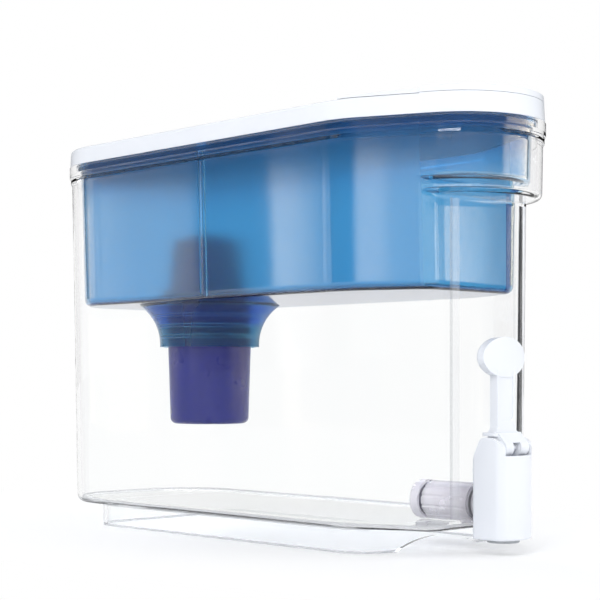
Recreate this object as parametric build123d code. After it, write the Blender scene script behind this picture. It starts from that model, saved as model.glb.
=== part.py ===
"""Countertop gravity water filter: clear tank with a tap, blue reservoir, filter cartridge and lid.

Millimetres. +Z is up, -Y is the front with the tap, the origin is the middle of the footprint.
"""
from build123d import *
from math import asin, atan2, cos, degrees, pi, radians, sin, sqrt, tan
import os

# ---------------------------------------------------------------- driving sizes
# Outline of the rim, which the tank, the reservoir and the lid all follow.
RIM_LENGTH = 364.8
RIM_WIDTH = 137.0
REAR_CORNER_RADIUS = 52.0
SHOULDER_RADIUS = 60.0
NOSE_RADIUS = 50.2
NOSE_TAPER = radians(24.9)

# Tank.
TANK_HEIGHT = 240.0
TANK_WALL = 3.0
TANK_FLOOR = 2.5
TANK_DRAFT = radians(0.95)
FOOT_HEIGHT = 13.5
TANK_EDGE_RADIUS = 5.0
TANK_INNER_EDGE_RADIUS = 1.0
PANEL_SETBACK = 30.7
PANEL_CORNER_RADIUS = 16.0
OVERHANG_HEIGHT = 197.5
OVERHANG_EDGE_RADIUS = 3.5
LIP_STEP = 1.5
LIP_HEIGHT = 7.5
LIP_BEAD_STEP = 0.8
LIP_BEAD_HEIGHT = 4.0
LEDGE_REACH = 2.7
LEDGE_THICKNESS = 3.0
SKIRT_INSET = 7.0
SKIRT_WALL = 2.5
SKIRT_CORNER_RADIUS = 22.0
SKIRT_FRONT_SETBACK = 64.0
SKIRT_REAR_SETBACK = 49.0
ARCH_WIDTH = 72.0
ARCH_RISE = 7.0
GRIP_HEIGHT = 204.0
GRIP_RADIUS = 8.0
GRIP_DEPTH = 3.2
GRIP_WIDTH = 72.0

# Reservoir.
RESERVOIR_WALL = 2.2
RESERVOIR_FLOOR_HEIGHT = 146.0
RESERVOIR_NOSE_HEIGHT = 205.5
RESERVOIR_DRAFT = radians(1.6)
RESERVOIR_EDGE_RADIUS = 5.0
RESERVOIR_PANEL_GAP = 3.5
RESERVOIR_CORNER_RADIUS = 12.0
FLANGE_THICKNESS = 3.6
GROOVE_Y = 21.0
GROOVE_RADIUS = 1.7
GROOVE_CLEARANCE = 5.5

# Filter socket under the reservoir and the cartridge that hangs in it.
FILTER_Y = 82.0
FILTER_RADIUS = 27.65
FILTER_BOTTOM_RADIUS = 26.0
FILTER_BOTTOM_HEIGHT = 67.0
FILTER_WALL = 1.6
FILTER_FLANGE_REACH = 1.8
FILTER_FLANGE_THICKNESS = 4.4
FILTER_CORNER_RADIUS = 4.0
CAP_HEIGHT = 37.0
CAP_BASE_RADIUS = 24.9
CAP_SHOULDER_RADIUS = 22.4
CAP_DOME = 5.0
SLOT_COUNT = 8
SLOT_LENGTH = 9.0
SLOT_WIDTH = 1.8
SEAT_HEIGHT = 4.0
SEAT_WALL = 2.6
COLLAR_RADIUS = 33.2
COLLAR_LENGTH = 28.0
COLLAR_FLARE_RADIUS = 31.4
COLLAR_RIB_RADIUS = 1.2
COLLAR_RIB_COUNT = 3
SEAL_THICKNESS = 1.4
SCREEN_THICKNESS = 1.2

# Lid and fill door.
LID_HEIGHT = 11.5
LID_WALL = 2.5
LID_INSET = 0.4
LID_DRAFT = radians(3.0)
LID_EDGE_RADIUS = 2.4
LID_RIB_WALL = 1.8
LID_RIB_DROP = 5.5
LID_STIFFENER_HEIGHT = 4.0
DOOR_START_Y = -100.0
DOOR_FULL_Y = -146.0
DOOR_RISE = 3.6
DOOR_TAIL_RISE = 1.6
DOOR_TAIL_INSET = 4.0
DOOR_WALL = 1.5
FILL_INSET = 13.0
DOOR_RIM_DROP = 3.0
DOOR_RIM_WALL = 1.6
HINGE_SETBACK = 3.4
HINGE_RADIUS = 2.2
HINGE_PIN_RADIUS = 1.1
KNUCKLE_WIDTH = 14.0
EAR_WIDTH = 4.0
HINGE_MIDDLE_WIDTH = 20.0

# Tap.
SHANK_HEIGHT = 27.5
SHANK_RADIUS = 8.2
SHANK_BORE_RADIUS = 5.5
WASHER_THICKNESS = 1.6
TAP_FLANGE_THICKNESS = 2.0
COVER_WIDTH = 29.0
COVER_WALL = 2.4
COVER_BOTTOM = 8.5
COVER_TOP = 64.7
COVER_FRONT_TOP = 54.8
COVER_REAR_GAP = 3.0
COVER_FRONT_RADIUS = 27.0
COVER_CORNER_RADIUS = 6.0
COVER_DEPTH = 24.2
CHAMBER_RADIUS = 7.6
CHAMBER_BORE_RADIUS = 5.6
CHAMBER_TOP = 45.0
CHAMBER_BOTTOM = 8.0
SEAT_TOP = 17.5
VALVE_SEAT_THICKNESS = 2.0
VALVE_HOLE_RADIUS = 3.4
SPOUT_RADIUS = 9.1
SPOUT_BORE_RADIUS = 6.0
SPOUT_BOTTOM = 6.5
DECK_THICKNESS = 2.4
NUT_RADIUS = 11.0
NUT_RIM_RADIUS = 11.2
INNER_WASHER_RADIUS = 10.6
NUT_RIM_WIDTH = 5.5
NUT_GROOVE_WIDTH = 2.2
NUT_GROOVE_DEPTH = 1.2
NUT_LENGTH = 40.5
NUT_FLUTE_COUNT = 12
SHANK_END_REACH = 1.5
LEVER_PIN_RADIUS = 1.5
FINGER_REACH = 5.6
FINGER_RADIUS = 1.5
LEVER_SWING = radians(35.0)
PIVOT_HEIGHT = 59.0
HUB_RADIUS = 4.8
LEVER_NOTCH_WIDTH = 6.4
STEM_RADIUS = 1.6
HEAD_RADIUS = 3.6
HEAD_THICKNESS = 1.5
SPRING_WIRE_RADIUS = 0.45
SPRING_RADIUS = 4.2
SPRING_TURNS = 6
LEVER_STEM_WIDTH = 15.5
LEVER_STEM_THICKNESS = 5.2
LEVER_FLARE_RADIUS = 3.8
LEVER_RECESS_DEPTH = 0.7
LEVER_RECESS_MARGIN = 1.3
PAD_WIDTH = 36.6
PAD_HEIGHT = 22.3
PAD_THICKNESS = 7.4
PAD_CENTRE_HEIGHT = 108.8
PAD_CROWN_RADIUS = 90.0

# Clearances.
SEAT_GAP = 0.25          # between faces of bodies that lift apart
RUNNING_FIT = 0.06       # radial, pins and the plunger
PRESS_FIT = 0.02         # radial, pieces of one body pressed together
LOOSE_FIT = 0.3          # between pieces that pass each other
SIDE_FIT = 0.5           # around pieces that are dropped in by hand

# ---------------------------------------------------------------- worked-out places
NOSE_Y = -RIM_LENGTH / 2
PANEL_Y = NOSE_Y + PANEL_SETBACK
PANEL_INNER_Y = PANEL_Y + TANK_WALL
FLOOR_TOP = FOOT_HEIGHT + TANK_FLOOR
LEDGE_TOP = TANK_HEIGHT - FLANGE_THICKNESS - SEAT_GAP * 2
RESERVOIR_INSET = LIP_STEP + TANK_WALL + LEDGE_REACH + SIDE_FIT
RESERVOIR_PANEL_Y = PANEL_INNER_Y + RESERVOIR_PANEL_GAP
RESERVOIR_FLOOR_TOP = RESERVOIR_FLOOR_HEIGHT + RESERVOIR_WALL
SEAT_TOP_HEIGHT = RESERVOIR_FLOOR_HEIGHT + SEAT_HEIGHT
SEAL_BOTTOM = SEAT_TOP_HEIGHT + SEAT_GAP
FLANGE_BOTTOM = SEAL_BOTTOM + SEAL_THICKNESS
FILTER_TOP_EDGE = FLANGE_BOTTOM + FILTER_FLANGE_THICKNESS
LID_BOTTOM = TANK_HEIGHT + SEAT_GAP
LID_TOP = TANK_HEIGHT + LID_HEIGHT
DOOR_BOTTOM = LID_TOP + SEAT_GAP
DOOR_TOP = LID_TOP + DOOR_RISE
HINGE_Y = DOOR_START_Y + HINGE_SETBACK
HINGE_Z = LID_TOP + HINGE_RADIUS + SEAT_GAP

WASHER_FRONT_Y = PANEL_Y - WASHER_THICKNESS
COVER_REAR_Y = PANEL_Y - COVER_REAR_GAP
COVER_FRONT_Y = COVER_REAR_Y - COVER_DEPTH
PLUNGER_Y = COVER_REAR_Y - COVER_DEPTH * 0.45
PIVOT_Y = PLUNGER_Y - FINGER_REACH * cos(LEVER_SWING / 2)
PLUNGER_LIFT = 2 * FINGER_REACH * sin(LEVER_SWING / 2)
COVER_INNER_HALF = COVER_WIDTH / 2 - COVER_WALL
LEVER_PIN_REACH = COVER_INNER_HALF + COVER_WALL * 0.6
NUT_START_Y = PANEL_INNER_Y + WASHER_THICKNESS
NUT_END_Y = NUT_START_Y + NUT_LENGTH
CAP_TOP = CHAMBER_TOP + 4.0
PLUNGER_FOOT = SEAT_TOP + SEAT_GAP
HEAD_UNDERSIDE = PIVOT_HEIGHT - FINGER_REACH * sin(LEVER_SWING / 2) + FINGER_RADIUS + LOOSE_FIT


# ---------------------------------------------------------------- outlines and helpers
def at(z, shape):
    """The shape raised to height z."""
    return Pos(0, 0, z) * shape


def corner_lines(inset):
    """Half width, rear, shoulder, nose tip radius and apex of the outline drawn smaller by inset."""
    half = RIM_WIDTH / 2 - inset
    tip_radius = NOSE_RADIUS - inset
    apex = NOSE_Y + inset - tip_radius * (1 / sin(NOSE_TAPER) - 1)
    shoulder = apex + half / tan(NOSE_TAPER)
    return half, RIM_LENGTH / 2 - inset, shoulder, tip_radius, apex


def plan(inset):
    """Rim outline drawn smaller by inset, as a face: round back corners and a tapered round nose."""
    half, rear, shoulder, tip_radius, apex = corner_lines(inset)
    points = [(-half, rear), (half, rear), (half, shoulder), (0, apex), (-half, shoulder)]
    back, side = REAR_CORNER_RADIUS - inset, SHOULDER_RADIUS - inset
    return make_face(FilletPolyline(*points, radius=[back, back, side, tip_radius, side], close=True))


def panel_plan(inset, panel_y, corner_radius):
    """The same outline with its nose cut off by the flat front panel."""
    half, rear, shoulder, _, apex = corner_lines(inset)
    panel_half = (panel_y - apex) * tan(NOSE_TAPER)
    points = [(-half, rear), (half, rear), (half, shoulder), (panel_half, panel_y),
              (-panel_half, panel_y), (-half, shoulder)]
    back, side = REAR_CORNER_RADIUS - inset, SHOULDER_RADIUS - inset
    radii = [back, back, side, corner_radius, corner_radius, side]
    return make_face(FilletPolyline(*points, radius=radii, close=True))


def between(low_z, low_face, high_z, high_face):
    """Straight-sided solid between two outlines."""
    return loft([at(low_z, low_face), at(high_z, high_face)], ruled=True)


def band(outer, inner, low_z, high_z):
    """Upright ring between two outlines."""
    return at(low_z, extrude(outer - inner, high_z - low_z))


def block(x0, x1, y0, y1, z0, z1):
    """Box from its six sides."""
    return Pos((x0 + x1) / 2, (y0 + y1) / 2, (z0 + z1) / 2) * Box(x1 - x0, y1 - y0, z1 - z0)


def turned(points):
    """Solid of revolution about Z from (radius, height) points."""
    return revolve(make_face(Polyline([(r, 0, z) for r, z in points], close=True)), Axis.Z)


def post(radius, z0, z1, x=0.0, y=0.0):
    """Upright cylinder."""
    return Pos(x, y, (z0 + z1) / 2) * Cylinder(radius, z1 - z0)


def rod_y(radius, y0, y1, z):
    """Cylinder along Y on the middle plane."""
    return Pos(0, (y0 + y1) / 2, z) * Rot(90, 0, 0) * Cylinder(radius, y1 - y0)


def rod_x(radius, x0, x1, y, z):
    """Cylinder along X."""
    return Pos((x0 + x1) / 2, y, z) * Rot(0, 90, 0) * Cylinder(radius, x1 - x0)


def vessel(floor_z, step_z, top_z, inset_at, panel_y, corner_radius, floor_edge, nose_edge):
    """Solid form of a vessel whose nose stands out over a flat panel above step_z."""
    joint_z = step_z + nose_edge
    lower = between(floor_z, panel_plan(inset_at(floor_z), panel_y, corner_radius),
                    joint_z, panel_plan(inset_at(joint_z), panel_y, corner_radius))
    lower = fillet(lower.edges().group_by(Axis.Z)[0], floor_edge)
    upper = between(step_z, plan(inset_at(step_z)), top_z, plan(inset_at(top_z)))
    upper = fillet(upper.edges().group_by(Axis.Z)[0], nose_edge)
    return lower + upper


# ---------------------------------------------------------------- tank
def tank_inset(z):
    """How far the tank's outer wall lies inside the lip at height z."""
    return LIP_STEP + (TANK_HEIGHT - z) * tan(TANK_DRAFT)


def grip_ring(extra):
    """Slice of a ring behind the tank that presses the finger grip into the back wall."""
    reach = (GRIP_WIDTH ** 2 / 4 + GRIP_DEPTH ** 2) / (2 * GRIP_DEPTH)
    wall_y = RIM_LENGTH / 2 - tank_inset(GRIP_HEIGHT)
    centre_y = wall_y - GRIP_DEPTH + reach
    return Pos(0, centre_y, GRIP_HEIGHT) * Torus(reach - GRIP_RADIUS, GRIP_RADIUS + extra)


def make_skirt():
    """Foot ring under the tank with an arch in its front wall."""
    half = RIM_WIDTH / 2 - SKIRT_INSET
    front, rear = NOSE_Y + SKIRT_FRONT_SETBACK, RIM_LENGTH / 2 - SKIRT_REAR_SETBACK
    middle, length = (front + rear) / 2, rear - front
    outer = Pos(0, middle) * RectangleRounded(2 * half, length, SKIRT_CORNER_RADIUS)
    inner = Pos(0, middle) * RectangleRounded(2 * (half - SKIRT_WALL), length - 2 * SKIRT_WALL,
                                              SKIRT_CORNER_RADIUS - SKIRT_WALL)
    arch_radius = (ARCH_WIDTH ** 2 / 4 + ARCH_RISE ** 2) / (2 * ARCH_RISE)
    arch = rod_y(arch_radius, front - 1, front + SKIRT_CORNER_RADIUS, ARCH_RISE - arch_radius)
    return band(outer, inner, 0, FOOT_HEIGHT + TANK_FLOOR / 2) - arch


def make_tank():
    outer = vessel(FOOT_HEIGHT, OVERHANG_HEIGHT, TANK_HEIGHT, tank_inset, PANEL_Y,
                   PANEL_CORNER_RADIUS, TANK_EDGE_RADIUS, OVERHANG_EDGE_RADIUS)
    outer += band(plan(0), plan(LIP_STEP + TANK_WALL / 2), TANK_HEIGHT - LIP_HEIGHT, TANK_HEIGHT)
    bead_top = TANK_HEIGHT - LIP_HEIGHT
    outer += band(plan(LIP_BEAD_STEP), plan(LIP_STEP + TANK_WALL / 2), bead_top - LIP_BEAD_HEIGHT, bead_top)
    outer -= grip_ring(0)

    def inner_inset(z):
        return tank_inset(z) + TANK_WALL

    inner = vessel(FLOOR_TOP, OVERHANG_HEIGHT + TANK_WALL, TANK_HEIGHT + 1, inner_inset, PANEL_INNER_Y,
                   PANEL_CORNER_RADIUS - TANK_WALL, TANK_INNER_EDGE_RADIUS,
                   OVERHANG_EDGE_RADIUS / 2)
    inner -= grip_ring(TANK_WALL)

    ledge_bottom = LEDGE_TOP - LEDGE_THICKNESS
    ledge_edge = LIP_STEP + TANK_WALL + LEDGE_REACH
    ledge_rise = LEDGE_REACH + TANK_WALL / 2
    support = at(ledge_bottom - ledge_rise,
                 extrude(plan(LIP_STEP + TANK_WALL / 2), LEDGE_TOP - ledge_bottom + ledge_rise))
    support -= between(ledge_bottom - ledge_rise, plan(LIP_STEP + TANK_WALL / 2), ledge_bottom, plan(ledge_edge))
    support -= at(ledge_bottom, extrude(plan(ledge_edge), LEDGE_THICKNESS))

    hole = rod_y(SHANK_RADIUS + LOOSE_FIT, PANEL_Y - 1, PANEL_INNER_Y + 1, SHANK_HEIGHT)
    return outer - inner + support + make_skirt() - hole


# ---------------------------------------------------------------- reservoir
def reservoir_inset(z):
    """How far the reservoir's outer wall lies inside the lip at height z."""
    return RESERVOIR_INSET + (LEDGE_TOP - z) * tan(RESERVOIR_DRAFT)


def collar_radius(z, offset):
    """Radius of the flared collar, drawn larger by offset, at height z."""
    arc_z = RESERVOIR_FLOOR_HEIGHT - COLLAR_LENGTH + (COLLAR_LENGTH - flare_height())
    if z <= arc_z:
        return COLLAR_RADIUS + offset
    radius = COLLAR_FLARE_RADIUS - offset
    return COLLAR_RADIUS + COLLAR_FLARE_RADIUS - sqrt(radius ** 2 - (z - arc_z) ** 2)


def flare_height():
    """Height of the part of the collar that flares."""
    return COLLAR_FLARE_RADIUS * 0.83


def make_collar():
    """Seat ring for the cartridge and the flared, ringed collar around it, hanging from the floor."""
    top, bottom = RESERVOIR_FLOOR_HEIGHT, RESERVOIR_FLOOR_HEIGHT - COLLAR_LENGTH
    arc_z = top - flare_height()
    wall = RESERVOIR_WALL

    def arc(offset):
        mid_z = (arc_z + top) / 2
        return ThreePointArc((collar_radius(top, offset), 0, top), (collar_radius(mid_z, offset), 0, mid_z),
                             (COLLAR_RADIUS + offset, 0, arc_z))

    outer, inner = arc(0), arc(-wall)
    edges = [outer, Line(outer @ 1, (COLLAR_RADIUS, 0, bottom)),
             Line((COLLAR_RADIUS, 0, bottom), (COLLAR_RADIUS - wall, 0, bottom)),
             Line((COLLAR_RADIUS - wall, 0, bottom), inner @ 1), inner, Line(inner @ 0, outer @ 0)]
    collar = revolve(make_face(edges), Axis.Z)
    for number in range(COLLAR_RIB_COUNT):
        rib_z = bottom + COLLAR_LENGTH * (number + 1) / (COLLAR_RIB_COUNT + 1)
        collar += at(rib_z, Torus(collar_radius(rib_z, -wall), COLLAR_RIB_RADIUS))
    bore = FILTER_RADIUS + SIDE_FIT
    rim = bore + SEAT_WALL
    seat = turned([(bore, top), (rim, top), (rim, SEAT_TOP_HEIGHT), (bore, SEAT_TOP_HEIGHT)])
    return Pos(0, FILTER_Y, 0) * (collar + seat)


def side_groove(side, radius, low_z):
    """Rod that lies along a drafted side wall at mid length."""
    top_z = LEDGE_TOP
    low_x, top_x = (RIM_WIDTH / 2 - reservoir_inset(z) for z in (low_z, top_z))
    lean = degrees(atan2(top_x - low_x, top_z - low_z))
    middle = Pos(side * (low_x + top_x) / 2, GROOVE_Y, (low_z + top_z) / 2)
    return middle * Rot(0, side * lean, 0) * Cylinder(radius, sqrt((top_x - low_x) ** 2 + (top_z - low_z) ** 2))


def make_reservoir():
    outer = vessel(RESERVOIR_FLOOR_HEIGHT, RESERVOIR_NOSE_HEIGHT, TANK_HEIGHT - SEAT_GAP, reservoir_inset,
                   RESERVOIR_PANEL_Y, RESERVOIR_CORNER_RADIUS, RESERVOIR_EDGE_RADIUS, RESERVOIR_EDGE_RADIUS / 2)

    def inner_inset(z):
        return reservoir_inset(z) + RESERVOIR_WALL

    inner = vessel(RESERVOIR_FLOOR_TOP, RESERVOIR_NOSE_HEIGHT + RESERVOIR_WALL, TANK_HEIGHT + 1, inner_inset,
                   RESERVOIR_PANEL_Y + RESERVOIR_WALL, RESERVOIR_CORNER_RADIUS - RESERVOIR_WALL,
                   RESERVOIR_EDGE_RADIUS - RESERVOIR_WALL, RESERVOIR_EDGE_RADIUS / 4)
    for side in (-1, 1):
        outer -= side_groove(side, GROOVE_RADIUS, RESERVOIR_FLOOR_HEIGHT - 1)
        inner -= side_groove(side, GROOVE_RADIUS + RESERVOIR_WALL, RESERVOIR_FLOOR_HEIGHT - 1)
    flange_inset = LIP_STEP + TANK_WALL + SIDE_FIT
    flange_bottom = LEDGE_TOP + SEAT_GAP
    body = outer + band(plan(flange_inset), plan(RESERVOIR_INSET + RESERVOIR_WALL / 2),
                        flange_bottom, flange_bottom + FLANGE_THICKNESS)
    body -= inner
    floor_hole = post(FILTER_RADIUS + SIDE_FIT, RESERVOIR_FLOOR_HEIGHT - 1, RESERVOIR_FLOOR_TOP + 1, 0, FILTER_Y)
    return body - floor_hole + make_collar()


# ---------------------------------------------------------------- filter cartridge
def slots(low_z, high_z, middle_radius):
    """Ring of radial slots."""
    one = Pos(middle_radius, 0, (low_z + high_z) / 2) * Box(SLOT_LENGTH, SLOT_WIDTH, high_z - low_z)
    return [Rot(0, 0, 360 / SLOT_COUNT * (number + 0.5)) * one for number in range(SLOT_COUNT)]


def housing_radius(z):
    """Outer radius of the tapered cartridge body at height z."""
    taper_top = RESERVOIR_FLOOR_HEIGHT - COLLAR_LENGTH
    share = min(1.0, (z - FILTER_BOTTOM_HEIGHT) / (taper_top - FILTER_BOTTOM_HEIGHT))
    return FILTER_BOTTOM_RADIUS + (FILTER_RADIUS - FILTER_BOTTOM_RADIUS) * share


def make_filter_housing():
    bottom, taper_top = FILTER_BOTTOM_HEIGHT, RESERVOIR_FLOOR_HEIGHT - COLLAR_LENGTH
    flange = FILTER_RADIUS + FILTER_FLANGE_REACH
    outer = turned([(0, bottom), (FILTER_BOTTOM_RADIUS, bottom), (FILTER_RADIUS, taper_top),
                    (FILTER_RADIUS, FLANGE_BOTTOM), (flange, FLANGE_BOTTOM), (flange, FILTER_TOP_EDGE),
                    (0, FILTER_TOP_EDGE)])
    outer = fillet(outer.edges().group_by(Axis.Z)[0], FILTER_CORNER_RADIUS)
    inside, bore = bottom + FILTER_WALL, FILTER_RADIUS - FILTER_WALL
    inner = turned([(0, inside), (housing_radius(inside) - FILTER_WALL, inside), (bore, taper_top),
                    (bore, FILTER_TOP_EDGE + 1), (0, FILTER_TOP_EDGE + 1)])
    inner = fillet(inner.edges().group_by(Axis.Z)[0], FILTER_CORNER_RADIUS - FILTER_WALL)
    body = outer - inner
    for slot in slots(bottom - 1, inside + 1, FILTER_BOTTOM_RADIUS / 2):
        body -= slot
    return Pos(0, FILTER_Y, 0) * body


def cap_profile(offset, base_z):
    """Dome of the cartridge cap, drawn smaller by offset."""
    shoulder_z = FILTER_TOP_EDGE + CAP_HEIGHT - CAP_DOME
    base, shoulder = CAP_BASE_RADIUS - offset, CAP_SHOULDER_RADIUS - offset
    top = FILTER_TOP_EDGE + CAP_HEIGHT - offset
    rise = top - shoulder_z
    radius = (shoulder ** 2 + rise ** 2) / (2 * rise)
    half_angle = asin(shoulder / radius) / 2
    middle = (radius * sin(half_angle), 0, top - radius * (1 - cos(half_angle)))
    crown = ThreePointArc((shoulder, 0, shoulder_z), middle, (0, 0, top))
    lines = [Line((0, 0, base_z), (base, 0, base_z)), Line((base, 0, base_z), (shoulder, 0, shoulder_z)),
             crown, Line((0, 0, top), (0, 0, base_z))]
    return revolve(make_face(lines), Axis.Z)


def make_filter_cap():
    plug = FILTER_RADIUS - FILTER_WALL - PRESS_FIT
    plug_bottom = FLANGE_BOTTOM + SCREEN_THICKNESS
    body = cap_profile(0, FILTER_TOP_EDGE - 1) + post(plug, plug_bottom, FILTER_TOP_EDGE)
    body -= cap_profile(FILTER_WALL, plug_bottom - 1)
    top = FILTER_TOP_EDGE + CAP_HEIGHT
    for slot in slots(top - CAP_DOME - 2, top + 1, CAP_SHOULDER_RADIUS * 0.45):
        body -= slot
    return Pos(0, FILTER_Y, 0) * body


def make_filter_inside():
    """Lower screen, carbon bed and upper screen, stacked in the cartridge."""
    low = FILTER_BOTTOM_HEIGHT + FILTER_WALL
    bed_low, bed_high = low + SCREEN_THICKNESS, FLANGE_BOTTOM
    gap = FILTER_WALL + LOOSE_FIT / 2
    lower_radius = housing_radius(low) - FILTER_CORNER_RADIUS - PRESS_FIT
    outlet = post(lower_radius, low, bed_low)
    bed = turned([(0, bed_low), (housing_radius(bed_low) - gap - 0.6, bed_low),
                  (housing_radius(bed_low + FILTER_CORNER_RADIUS) - gap, bed_low + FILTER_CORNER_RADIUS),
                  (FILTER_RADIUS - gap, RESERVOIR_FLOOR_HEIGHT - COLLAR_LENGTH), (FILTER_RADIUS - gap, bed_high),
                  (0, bed_high)])
    inlet = post(FILTER_RADIUS - FILTER_WALL - PRESS_FIT, bed_high, bed_high + SCREEN_THICKNESS)
    place = Pos(0, FILTER_Y, 0)
    return place * outlet, place * bed, place * inlet


def make_filter_seal():
    inner = FILTER_RADIUS + PRESS_FIT
    outer = FILTER_RADIUS + SIDE_FIT + SEAT_WALL
    ring = post(outer, SEAL_BOTTOM, FLANGE_BOTTOM) - post(inner, SEAL_BOTTOM - 1, FLANGE_BOTTOM + 1)
    return Pos(0, FILTER_Y, 0) * ring


# ---------------------------------------------------------------- lid
def lid_inset(z):
    """How far the lid's side lies inside the lip at height z."""
    return LID_INSET + (z - LID_BOTTOM) * tan(LID_DRAFT)


def ahead_of(y):
    """Everything in front of the cross plane at y."""
    return block(-RIM_WIDTH, RIM_WIDTH, NOSE_Y * 2, y, 0, 2 * TANK_HEIGHT)


def fill_outline(inset):
    """Fill opening in the nose of the lid, drawn smaller by inset."""
    rear = DOOR_START_Y - 7 - inset
    cut = Pos(0, rear + NOSE_Y * -1) * Rectangle(2 * RIM_WIDTH, -2 * NOSE_Y)
    return plan(FILL_INSET + inset) - cut


def hinge_barrel(x0, x1):
    """One knuckle or ear of the door hinge, without its bore."""
    return rod_x(HINGE_RADIUS, x0, x1, HINGE_Y, HINGE_Z)


def hinge_spans(start, width):
    """The same stretch along X on both sides."""
    return [(start, start + width), (-start - width, -start)]


def make_lid():
    body = between(LID_BOTTOM, plan(lid_inset(LID_BOTTOM)), LID_TOP, plan(lid_inset(LID_TOP)))
    nose = body & ahead_of(DOOR_FULL_Y)
    body = fillet(body.edges().group_by(Axis.Z)[-1], LID_EDGE_RADIUS) + nose
    hollow_top = LID_TOP - LID_WALL
    body -= between(LID_BOTTOM - 1, plan(lid_inset(LID_BOTTOM) + LID_WALL), hollow_top,
                    plan(lid_inset(hollow_top) + LID_WALL))
    rib_inset = reservoir_inset(TANK_HEIGHT - LID_RIB_DROP) + RESERVOIR_WALL + SIDE_FIT
    body += band(plan(rib_inset), plan(rib_inset + LID_RIB_WALL), TANK_HEIGHT - LID_RIB_DROP, hollow_top)
    rib_half = RIM_WIDTH / 2 - rib_inset - LID_RIB_WALL / 2
    for rib_y in (-0.22, 0.0, 0.22):
        y = rib_y * RIM_LENGTH
        body += block(-rib_half, rib_half, y - LID_RIB_WALL / 2, y + LID_RIB_WALL / 2,
                      hollow_top - LID_STIFFENER_HEIGHT, hollow_top)
    body -= block(-RIM_WIDTH, RIM_WIDTH, GROOVE_Y - GROOVE_CLEARANCE, GROOVE_Y + GROOVE_CLEARANCE, 0, LID_BOTTOM)
    body -= at(hollow_top - 1, extrude(fill_outline(0), LID_WALL + 2))
    middle_half = HINGE_MIDDLE_WIDTH / 2 - LOOSE_FIT
    outer_start = HINGE_MIDDLE_WIDTH / 2 + KNUCKLE_WIDTH + LOOSE_FIT
    for x0, x1 in [(-middle_half, middle_half)] + hinge_spans(outer_start, EAR_WIDTH):
        body += hinge_barrel(x0, x1)
        body += block(x0, x1, HINGE_Y - HINGE_RADIUS, HINGE_Y + HINGE_RADIUS, hollow_top + LID_WALL / 2, HINGE_Z)
    reach = outer_start + EAR_WIDTH
    return body - rod_x(HINGE_PIN_RADIUS + PRESS_FIT, -reach, reach, HINGE_Y, HINGE_Z)


def make_door_pin():
    reach = HINGE_MIDDLE_WIDTH / 2 + KNUCKLE_WIDTH + LOOSE_FIT + EAR_WIDTH
    return rod_x(HINGE_PIN_RADIUS, -reach, reach, HINGE_Y, HINGE_Z)


def door_form(shrink):
    """Raised cover over the nose with a tail that slopes down to the hinge, thinner by shrink all over."""
    full = between(DOOR_BOTTOM, plan(lid_inset(DOOR_BOTTOM) + shrink),
                   DOOR_TOP, plan(lid_inset(DOOR_TOP) + shrink))
    tail = between(DOOR_BOTTOM, plan(LID_EDGE_RADIUS + LID_INSET + shrink),
                   DOOR_TOP, plan(LID_EDGE_RADIUS + DOOR_TAIL_INSET + shrink))
    full_y, start_y = DOOR_FULL_Y - shrink, DOOR_START_Y - shrink
    top, low = DOOR_TOP - shrink, LID_TOP + DOOR_TAIL_RISE - shrink
    floor = DOOR_BOTTOM - (1 if shrink else 0)
    side = make_face(Polyline([(0, start_y, floor), (0, start_y, low), (0, full_y, top),
                               (0, 2 * NOSE_Y, top), (0, 2 * NOSE_Y, floor)], close=True))
    slab = extrude(side, RIM_WIDTH, dir=(1, 0, 0), both=True)
    return ((full & ahead_of(full_y)) + (tail & ahead_of(start_y))) & slab


def make_fill_door():
    body = door_form(0)
    body -= door_form(DOOR_WALL)
    rim = fill_outline(LOOSE_FIT + SIDE_FIT) - fill_outline(LOOSE_FIT + SIDE_FIT + DOOR_RIM_WALL)
    body += at(LID_TOP - DOOR_RIM_DROP, extrude(rim, DOOR_RIM_DROP + DOOR_TAIL_RISE))
    body &= block(-RIM_WIDTH, RIM_WIDTH, 2 * NOSE_Y, DOOR_START_Y, 0, DOOR_TOP)
    for x0, x1 in hinge_spans(HINGE_MIDDLE_WIDTH / 2, KNUCKLE_WIDTH):
        body += hinge_barrel(x0, x1)
        body += block(x0, x1, DOOR_START_Y - DOOR_WALL, HINGE_Y, DOOR_BOTTOM, LID_TOP + DOOR_TAIL_RISE)
    reach = HINGE_MIDDLE_WIDTH / 2 + KNUCKLE_WIDTH + 1
    return body - rod_x(HINGE_PIN_RADIUS + RUNNING_FIT, -reach, reach, HINGE_Y, HINGE_Z)


# ---------------------------------------------------------------- tap
def make_spigot_body():
    """Threaded shank, clamping flange and upright valve chamber with its seat, in one moulding."""
    shank_end = NUT_END_Y + SHANK_END_REACH
    body = rod_y(SHANK_RADIUS, PLUNGER_Y, shank_end, SHANK_HEIGHT)
    flange_front = WASHER_FRONT_Y - TAP_FLANGE_THICKNESS
    body += rod_y(COVER_INNER_HALF - LOOSE_FIT, flange_front, WASHER_FRONT_Y, SHANK_HEIGHT)
    body += post(CHAMBER_RADIUS, CHAMBER_BOTTOM, CHAMBER_TOP, 0, PLUNGER_Y)
    body -= post(CHAMBER_BORE_RADIUS, SEAT_TOP, CHAMBER_TOP + 1, 0, PLUNGER_Y)
    body -= rod_y(SHANK_BORE_RADIUS, PLUNGER_Y, shank_end + 1, SHANK_HEIGHT)
    body -= post(VALVE_HOLE_RADIUS, CHAMBER_BOTTOM - 1, SEAT_TOP + 1, 0, PLUNGER_Y)
    return body - post(SPOUT_BORE_RADIUS, CHAMBER_BOTTOM - 1, SEAT_TOP - VALVE_SEAT_THICKNESS, 0, PLUNGER_Y)


def make_washer(radius, y0, y1):
    return rod_y(radius, y0, y1, SHANK_HEIGHT) - rod_y(SHANK_RADIUS + PRESS_FIT, y0 - 1, y1 + 1, SHANK_HEIGHT)


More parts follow.
